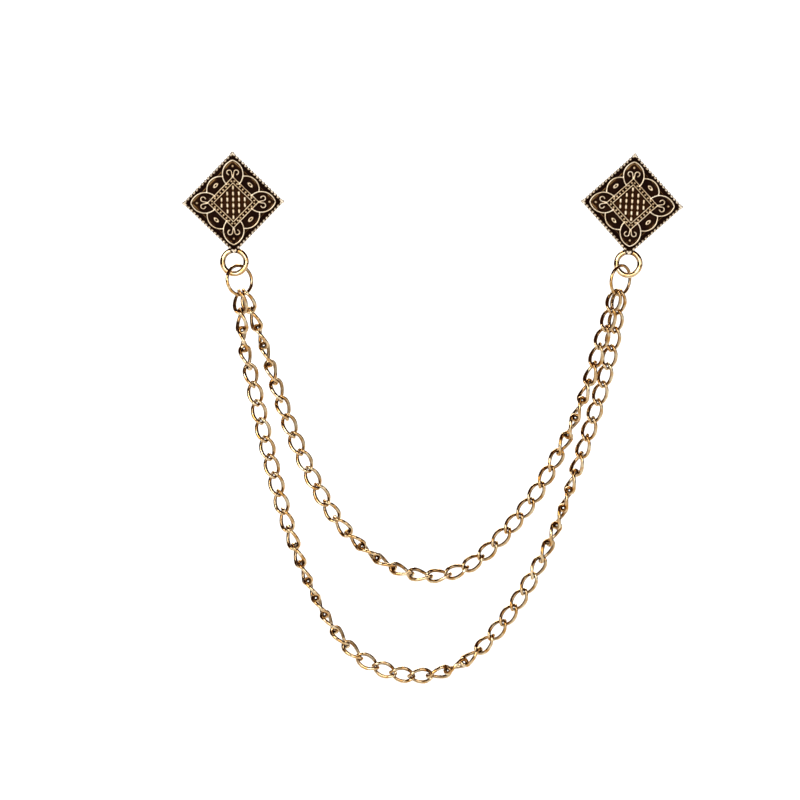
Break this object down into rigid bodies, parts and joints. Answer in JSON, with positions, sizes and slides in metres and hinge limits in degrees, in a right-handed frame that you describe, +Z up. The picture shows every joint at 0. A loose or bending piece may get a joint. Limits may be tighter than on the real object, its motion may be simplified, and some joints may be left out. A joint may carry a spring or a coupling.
{
  "type": "lapel chain",
  "caption": "Lapel chain: square plaques with raised leaf and lattice ornament stand on their corners and carry curb chains that hang in swags; a pin stands behind each plaque.",
  "frame": {"origin": "middle of the left plaque's back, where it is pinned on", "axes": "+X to the right plaque, +Z up as worn, fronts face -Y, pins point along +Y into the cloth"},
  "size_m": [0.1121, 0.0135, 0.1193],
  "materials": {
    "antique_brass": "cast, black-brown patina in the recesses and worn bright on the raised lines",
    "gilt_brass": "polished, lightly darkened",
    "steel": "plain"
  },
  "bodies": {
    "root": {"left_plaque": "antique_brass", "left_pin": "steel", "left_jump_ring": "gilt_brass", "outer_chain": "gilt_brass", "inner_chain": "gilt_brass", "right_jump_ring": "gilt_brass", "right_pin": "steel", "right_plaque": "antique_brass"}
  },
  "joints": []
}
